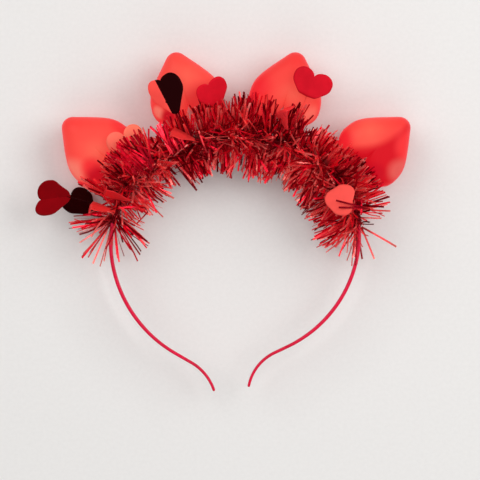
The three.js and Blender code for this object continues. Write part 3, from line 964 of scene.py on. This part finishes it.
def tuft_strips():
    """Strips in tufts all round the core, splayed and thinned out towards its ends."""
    start, stop = SLEEVE_REACH
    tuft_place = np.sort(rng.uniform(start + TUFT_MARGIN, stop - TUFT_MARGIN, TUFTS))
    tuft_turn = rng.uniform(0, 2 * math.pi, TUFTS)
    tuft_turn = np.arctan2(FLATTENING * np.sin(tuft_turn), np.cos(tuft_turn))
    swell = (np.sin(tuft_place / SWELL_LENGTHS[0] + SWELL_TURNS[0] * np.sin(tuft_turn))
             + np.sin(tuft_place / SWELL_LENGTHS[1] + SWELL_TURNS[1] * np.cos(tuft_turn)))
    tuft_lean = SWELL_LEAN * swell + rng.normal(0, TUFT_LEAN, TUFTS)
    tuft_tone = by_distance(BODY_LIGHT_TONE, tuft_place) + rng.normal(0, TUFT_TONE, TUFTS)
    tuft_share = rng.uniform(*TUFT_LENGTH, TUFTS)

    tuft = np.repeat(np.arange(TUFTS), STRIPS_PER_TUFT)
    count = len(tuft)
    distance = np.clip(tuft_place[tuft] + rng.normal(0, TUFT_SPREAD, count), start, stop)
    turn = tuft_turn[tuft] + rng.normal(0, TUFT_TURN_SPREAD, count)
    end_way = np.where(distance - start < stop - distance, -1, 1)
    to_end = np.minimum(distance - start, stop - distance)
    splay = END_SPLAY * end_way * np.clip(1 - to_end / END_SPLAY_LENGTH, 0, 1)
    stray = rng.uniform(0, 1, count) < STRAY_SHARE
    above = np.clip(np.sin(turn), 0, None) ** 2
    lean = splay + tuft_lean[tuft] + rng.normal(0, STRIP_LEAN, count)
    lean = lean + stray * rng.normal(0, STRAY_LEAN, count) + above * rng.normal(0, ABOVE_LEAN, count)

    outer = by_distance(OUTER_REACH, distance)
    inner = by_distance(INNER_REACH, distance)
    radius = (outer + inner) / 2 + (outer - inner) / 2 * np.cos(turn)
    full = rng.uniform(0, 1, count) < FULL_SHARE
    share = np.where(full, rng.uniform(*FULL_LENGTH, count), rng.uniform(*SHORT_LENGTH, count))
    open_side = np.cos(turn) * end_way > 0
    near_end = np.clip(1 - to_end / SPARSE_LENGTH, 0, 1) ** SPARSE_POWER
    left_out = rng.uniform(0, 1, count) < SPARSE_SHARE * near_end * open_side
    length = radius * share * tuft_share[tuft] * ~left_out
    return strip_rows(count, distance=distance, turn=turn, lean=lean, length=length, above=above,
                      tone=shaded(tuft_tone[tuft], turn))


def end_strips():
    """Strips that stand out at the core's ends, few of them on the outer side of the right one."""
    count = 2 * END_STRIPS
    distance = np.repeat(SLEEVE_REACH, END_STRIPS)
    turn = rng.uniform(0, 2 * math.pi, count)
    lean = np.sign(distance) * rng.uniform(*END_LEAN, count)
    length = END_RADIUS * rng.uniform(*END_LENGTH, count)
    bare = (distance > 0) & (np.cos(turn) > 0) & (rng.uniform(0, 1, count) < BARE_SHARE)
    return strip_rows(count, distance=distance, turn=turn, lean=lean, length=np.where(bare, 0, length),
                      tone=np.full(count, END_TONE))


def fringe_strips():
    """The strips of FRINGE_ROWS, spread evenly over their places and turns."""
    columns = np.array(FRINGE_ROWS, float).T
    counts = columns[FRINGE_COLUMNS.index("count")].astype(int)
    first, last, low, high, _, reach, tone, lift = np.repeat(columns, counts, axis=1)
    count = len(first)
    along, around = rng.uniform(0, 1, (count, 2)).T
    turn = np.radians(low + (high - low) * around)
    lifted = lift > 0
    back = lifted * rng.uniform(*FRINGE_BACK, count)
    lean = rng.normal(0, FRINGE_LEAN, count) + lifted * rng.normal(0, LIFTED_LEAN, count)
    length = reach * rng.uniform(*FRINGE_LENGTH, count) + back
    return strip_rows(count, distance=first + (last - first) * along, turn=turn, lean=lean, lift=lift,
                      back=back, length=length, tone=shaded(tone, turn))


def laid_rows():
    """Rows for the short strips over the core, which laid_strips() places."""
    start, stop = SLEEVE_REACH
    distance = rng.uniform(start + LAID_OFFSET, stop - LAID_OFFSET, LAID_STRIPS)
    return strip_rows(LAID_STRIPS, distance=distance, tone=np.full(LAID_STRIPS, LAID_TONE))


def strip_table():
    """One row for each strip: where it stands, the way it points, its length, width, twist and tone."""
    tufts, ends, fringe, laid = tuft_strips(), end_strips(), fringe_strips(), laid_rows()
    kinds = (tufts, fringe, ends, laid)
    table = {key: np.concatenate([rows[key] for rows in kinds]) for key in STRIP_COLUMNS}
    count = len(table["distance"])
    above = table["above"][:, None]
    tone_spread = TONE_SPREAD * np.where(table["lift"] > 0, LIFTED_TONE_SHARE, 1)
    table["lean"] = np.radians(table["lean"])
    table["width"] = rng.uniform(*STRIP_WIDTH, count)
    table["twist"] = np.radians(rng.normal(0, STRIP_TWIST, count))
    table["unwind"] = np.radians(rng.normal(0, STRIP_UNWIND, count))
    table["curl"] = rng.normal(0, STRIP_CURL, (count, 2)) + above * rng.normal(0, ABOVE_CURL, (count, 2))
    table["tone"] = np.clip(table["tone"] + tone_spread * rng.normal(0, 1, count), *TONE_RANGE)
    return table


def laid_strips(table):
    """Roots, ways and lengths of the table's last strips, which stand over the core in every direction."""
    place, out, forward = line_at(table["distance"][-LAID_STRIPS:])
    turn = rng.uniform(0, 2 * math.pi, LAID_STRIPS)[:, None]
    steepness = rng.uniform(*LAID_STEEPNESS, (LAID_STRIPS, 1))
    way = out * np.cos(turn) + forward * np.sin(turn) + UP * steepness
    way /= np.linalg.norm(way, axis=1)[:, None]
    root = place + out * rng.normal(0, LAID_OFFSET / 2, (LAID_STRIPS, 1))
    root = root + UP * rng.uniform(*LAID_RISE, (LAID_STRIPS, 1))
    length = rng.uniform(*LAID_LENGTH, LAID_STRIPS)
    return root - way * length[:, None] / 2, way, length


def along_strips(points, shares):
    """Points at given shares of each strip's length."""
    stations = points.shape[1] - 1
    at = np.clip(shares, 0, 1) * stations
    low = np.minimum(at.astype(int), stations - 1)
    part = (at - low)[..., None]
    first = np.take_along_axis(points, low[..., None], axis=1)
    second = np.take_along_axis(points, low[..., None] + 1, axis=1)
    return first + (second - first) * part


def share_to_foil(tree, samples):
    """The share of a strip that is clear of a foil heart, 1 where they don't meet."""
    for step in range(STRIP_SAMPLES - 1):
        start = Vector(samples[step])
        leg = Vector(samples[step + 1]) - start
        place, _, _, apart = tree.ray_cast(start, leg.normalized(), leg.length)
        if place is not None:
            return (step + apart / leg.length) / (STRIP_SAMPLES - 1) - FOIL_GAP_SHARE
    return 1.0


def place_below(tree, samples):
    """The first place on a foil heart straight below a strip, or None."""
    for sample in samples:
        place = tree.ray_cast(Vector(sample), Vector((0, 0, -1)))[0]
        if place is not None:
            return np.array(place)
    return None


def clear_of_foil(points, keep):
    """Shortens strips that meet a foil heart, and leaves out most of those that would hide one."""
    even = np.linspace(0, 1, STRIP_SAMPLES)[None]
    for row in FOIL_HEARTS:
        plate, faces, _ = foil_heart_mesh(row)
        tree = BVHTree.FromPolygons(plate.tolist(), faces)
        point, _, axis, _ = foil_frame(row)
        middle = plate.mean(0)
        samples = along_strips(points, np.repeat(even, len(points), axis=0))
        near = (np.linalg.norm(samples[..., :2] - middle[:2], axis=2) < FOIL_LENGTH).any(1)
        for strip in np.flatnonzero(near & keep):
            length = share_to_foil(tree, samples[strip])
            if length < SHORTEST_SHARE:
                keep[strip] = False
                continue
            shorter = np.linspace(0, length, points.shape[1])[None]
            points[strip] = along_strips(points[strip:strip + 1], shorter)[0]
            below = place_below(tree, along_strips(points[strip:strip + 1], even)[0])
            if below is not None and np.dot(below - point, axis) > row["veil"]:
                keep[strip] = rng.uniform() <= row["stray"]
    return points, keep


def heart_height(points, row):
    """Half thickness of a glowing heart over points beside it, 0 outside its outline."""
    outline = heart_outline(HEART_WIDTH, HEART_LENGTH, HEART_SIDE_STEPS) + (0, DOME_CENTRE_DEPTH)
    angles = np.arctan2(outline[:, 1], outline[:, 0])
    order = np.argsort(angles)
    lean = math.radians(row["lean"])
    offset = points[..., :2] - row["tip"]
    x = offset[..., 0] * math.cos(lean) + offset[..., 1] * math.sin(lean)
    y = offset[..., 1] * math.cos(lean) - offset[..., 0] * math.sin(lean) + DOME_CENTRE_DEPTH
    edge = np.interp(np.arctan2(y, x), angles[order], np.linalg.norm(outline, axis=1)[order],
                     period=2 * math.pi)
    share = np.clip(np.hypot(x, y) / edge, 0, 1)
    return HEART_THICKNESS / 2 * np.sqrt(1 - share ** (2 / DOME_SHARPNESS))


def strip_points(table):
    """Middle points of every strip, bent clear of the hearts and of the floor, and which strips to keep."""
    place, out, forward = line_at(table["distance"])
    turn, lean = table["turn"][:, None], table["lean"][:, None]
    around = out * np.cos(turn) + UP * np.sin(turn)
    way = around * np.cos(lean) + forward * np.sin(lean)
    root = place + around * STRIP_ROOT_RADIUS + UP * table["lift"][:, None] - out * table["back"][:, None]
    length = table["length"] - STRIP_ROOT_RADIUS
    root[-LAID_STRIPS:], way[-LAID_STRIPS:], length[-LAID_STRIPS:] = laid_strips(table)
    keep = length > 0
    side = np.cross(way, UP)
    side /= np.maximum(np.linalg.norm(side, axis=1), TINY)[:, None]
    upward = np.cross(side, way)
    bend = side * table["curl"][:, :1] + upward * table["curl"][:, 1:]
    share = np.linspace(0, 1, STRIP_STEPS + 1)[None, :, None]
    reach = length[:, None, None]
    points = root[:, None] + way[:, None] * reach * share + bend[:, None] * reach * share ** 2

    over = np.where(way[:, 2:3] > UNDER_SLOPE, 1, -1)
    rise = (points[..., 2] - BAND_LEVEL) * over
    for row in HEARTS.values():
        height = heart_height(points, row)
        need = np.where(height > 0, height + HEART_CLEARANCE, 0)
        meets = (rise < need).any(1)
        slope = ((need - rise[:, :1])[:, 1:] / share[:, 1:, 0]).max(1)
        rise = np.where(meets[:, None], rise[:, :1] + slope[:, None] * share[..., 0], rise)
        keep &= ~(meets & (slope > STEEPEST_RISE * length))
    lowest = FLOOR_CLEARANCE + TIP_CLEARANCE * share[..., 0]
    points[..., 2] = np.maximum(rise * over + BAND_LEVEL, lowest)
    return clear_of_foil(points, keep)


def make_tinsel():
    """All the strips as one piece, each a thin flat bar that twists along its length."""
    table = strip_table()
    points, keep = strip_points(table)
    points = np.concatenate([points[keep], np.array(FOLDED_STRIPS, float)])
    kept = {}
    for key, value in FOLDED_LOOK.items():
        kept[key] = np.concatenate([table[key][keep], np.full(len(FOLDED_STRIPS), value, float)])
    count, stations = points.shape[:2]
    along = np.gradient(points, axis=1)
    along /= np.linalg.norm(along, axis=2)[..., None]
    forward = line_at(kept["distance"])[2][:, None]
    flat = forward - along * np.sum(forward * along, axis=2)[..., None]
    flat /= np.maximum(np.linalg.norm(flat, axis=2), TINY)[..., None]
    face = np.cross(along, flat)
    share = np.linspace(0, 1, stations)
    turn = (kept["twist"][:, None] + kept["unwind"][:, None] * share)[..., None]
    across = flat * np.cos(turn) + face * np.sin(turn)
    through = np.cross(along, across)
    half = across * kept["width"][:, None, None] / 2
    thick = through * STRIP_THICKNESS / 2
    corners = np.stack(bar_corners(points, half, thick), axis=2)
    one = np.array(ring_faces(stations, BAR_CORNERS))
    first = np.arange(count) * stations * BAR_CORNERS
    faces = (one[None] + first[:, None, None]).reshape(-1, BAR_CORNERS)
    piece = new_piece("tinsel_strips", to_row(corners.reshape(-1, 3)), faces.tolist(), smooth=False)
    set_attribute(piece, "tone", np.repeat(kept["tone"], stations * BAR_CORNERS))
    set_attribute(piece, "reach", np.tile(np.repeat(share, BAR_CORNERS), count))
    return piece


def make_sleeve():
    """The tinsel's wound core round the band, ridged by its winding."""
    start, stop = SLEEVE_REACH
    distances = np.linspace(start, stop, SLEEVE_RINGS)
    turns = np.linspace(0, 2 * math.pi, SLEEVE_SIDES, endpoint=False)
    winding = np.linspace(0, SLEEVE_TURNS * 2 * math.pi, SLEEVE_RINGS)[:, None] + turns
    to_end = np.minimum(distances - start, stop - distances)
    ends = np.clip(to_end / SLEEVE_END_LENGTH, 0, 1)[:, None]
    radius = SLEEVE_RADIUS * (SLEEVE_END_SHARE + (1 - SLEEVE_END_SHARE) * np.sqrt(ends))
    radius = radius + SLEEVE_RIDGE * np.sin(RIDGES_PER_TURN * winding)
    across, high = SLEEVE_SHAPE
    place, out, _ = line_at(distances)
    points = (place[:, None]
              + out[:, None] * (radius * np.cos(turns) * across)[..., None]
              + UP * (radius * np.sin(turns) * high)[..., None])
    piece = new_piece("tinsel_core", to_row(points.reshape(-1, 3)), ring_faces(SLEEVE_RINGS, SLEEVE_SIDES))
    count = SLEEVE_RINGS * SLEEVE_SIDES
    set_attribute(piece, "tone", np.full(count, SLEEVE_TONE))
    set_attribute(piece, "reach", np.full(count, SLEEVE_SHADE_REACH))
    return piece


# Stage

def make_camera():
    """Straight above, with the photo's frame in the plane of the band."""
    data = bpy.data.cameras.new("camera")
    camera = add_object("camera", data)
    camera.location = Vector(to_row((*PHOTO_CENTRE, BAND_LEVEL))) + Vector((0, 0, CAMERA_DISTANCE))
    data.sensor_width = SENSOR
    data.lens = SENSOR * CAMERA_DISTANCE / (PHOTO_SIZE * MM_PER_PIXEL * MM)
    data.clip_start, data.clip_end = CAMERA_CLIP
    scene.camera = camera


def make_floor():
    """A plain pale floor."""
    corners = [(-1, -1, 0), (1, -1, 0), (1, 1, 0), (-1, 1, 0)]
    piece = new_piece("floor", np.array(corners) * FLOOR_REACH, [(0, 1, 2, 3)])
    paint = Paint("floor_paper")
    piece.data.materials.append(paint.shade({
        "Base Color": paint.tint(paint.noise(500.0), srgb(228, 226, 224), srgb(231, 229, 227)),
        "Roughness": 0.9,
        "Specular IOR Level": 0.1,
    }))


def make_lights():
    """Softboxes round the part and an even pale surrounding."""
    target = Vector(to_row((*LIGHT_TARGET, BAND_LEVEL)))
    for number, (place, size, watts) in enumerate(SOFTBOXES, 1):
        data = bpy.data.lights.new(f"softbox_{number}", "AREA")
        data.size = size
        data.energy = watts
        light = add_object(data.name, data)
        light.location = place
        light.rotation_euler = (target - Vector(place)).to_track_quat("-Z", "Y").to_euler()
    world = bpy.data.worlds.new("studio")
    scene.world = world
    world.use_nodes = True
    background = world.node_tree.nodes["Background"]
    background.inputs["Color"].default_value = WHITE
    background.inputs["Strength"].default_value = WORLD_STRENGTH
    scene.view_settings.view_transform = "Standard"


make_camera()
make_floor()
make_lights()
make_band()
for heart_name, heart_row in HEARTS.items():
    make_heart(heart_name, heart_row, HEART_LOOKS[heart_name])
for foil_number, (foil_row, foil_look) in enumerate(zip(FOIL_HEARTS, FOIL_LOOKS), 1):
    make_foil_heart(foil_number, foil_row, foil_look)
tinsel_film = tinsel_material()
dress(make_tinsel(), tinsel_film, "tinsel")
dress(make_sleeve(), tinsel_film, "tinsel")
lamp_plastic = lamp_material()
for node_name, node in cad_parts.items():
    if node_name.startswith("lamp_"):
        node.data.materials.clear()
        node.data.materials.append(lamp_plastic)
